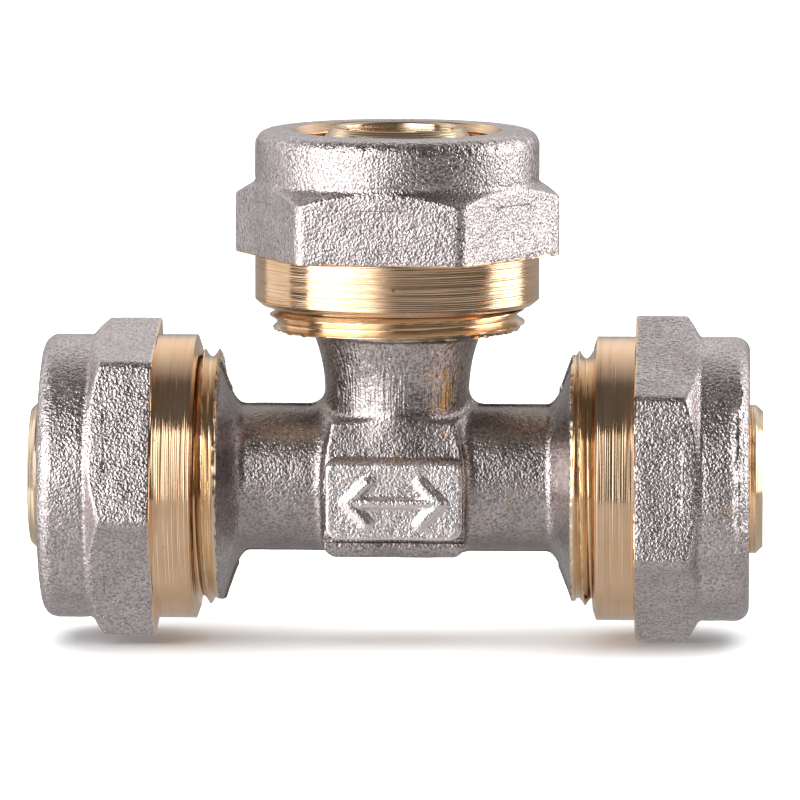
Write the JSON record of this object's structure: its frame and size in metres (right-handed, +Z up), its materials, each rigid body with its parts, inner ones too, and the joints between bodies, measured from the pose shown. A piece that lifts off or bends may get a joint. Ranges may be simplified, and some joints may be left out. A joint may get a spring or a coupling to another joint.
{
  "type": "compression fitting",
  "caption": "Equal tee compression fitting for multilayer pipe: forged brass body with stems, and a hexagon nut, split ring, O-rings and washer on each arm.",
  "frame": {"origin": "on the surface the run nuts' hexagons stand on, below the crossing of the run's and the branch's axes", "axes": "+X along the run, +Z up along the branch, and the raised mark on the body faces -Y"},
  "size_m": [0.077, 0.0342, 0.0542],
  "materials": {
    "forged_body": "nickel-plated, shot-blasted forging; bare turned brass on thread and stems",
    "nut": "nickel-plated, shot-blasted collar and hexagon; bare turned brass skirt and bore",
    "split_ring": "turned brass",
    "o_ring": "satin black rubber",
    "insulating_washer": "plain white, slightly waxy"
  },
  "bodies": {
    "tee": {"tee_body": "forged_body", "left_washer": "insulating_washer", "left_o_ring_inner": "o_ring", "left_o_ring_outer": "o_ring", "right_washer": "insulating_washer", "right_o_ring_inner": "o_ring", "right_o_ring_outer": "o_ring", "branch_washer": "insulating_washer", "branch_o_ring_inner": "o_ring", "branch_o_ring_outer": "o_ring"},
    "left_ring": {"left_split_ring": "split_ring"},
    "left_nut": {"left_nut": "nut"},
    "right_ring": {"right_split_ring": "split_ring"},
    "right_nut": {"right_nut": "nut"},
    "branch_ring": {"branch_split_ring": "split_ring"},
    "branch_nut": {"branch_nut": "nut"}
  },
  "joints": [
    {"name": "left_ring_slide", "type": "slide", "parent": "tee", "child": "left_ring", "axis": [1, 0, 0], "range_m": [-0.00526, 0.00151]},
    {"name": "left_nut_spin", "type": "hinge", "parent": "left_ring", "child": "left_nut", "pos_m": [-0.03, 0, 0.01724], "axis": [1, 0, 0], "range_deg": [-1260, 360]},
    {"name": "right_ring_slide", "type": "slide", "parent": "tee", "child": "right_ring", "axis": [-1, 0, 0], "range_m": [-0.00526, 0.00151]},
    {"name": "right_nut_spin", "type": "hinge", "parent": "right_ring", "child": "right_nut", "pos_m": [0.03, 0, 0.01724], "axis": [-1, 0, 0], "range_deg": [-1260, 360]},
    {"name": "branch_ring_slide", "type": "slide", "parent": "tee", "child": "branch_ring", "axis": [0, 0, -1], "range_m": [-0.00526, 0.00151]},
    {"name": "branch_nut_spin", "type": "hinge", "parent": "branch_ring", "child": "branch_nut", "pos_m": [0, 0, 0.04724], "axis": [0, 0, -1], "range_deg": [-1260, 360]}
  ],
  "couplings": [
    {"joint": "left_ring_slide", "follows": "left_nut_spin", "m_per_rad": 0.00023873},
    {"joint": "right_ring_slide", "follows": "right_nut_spin", "m_per_rad": 0.00023873},
    {"joint": "branch_ring_slide", "follows": "branch_nut_spin", "m_per_rad": 0.00023873}
  ]
}
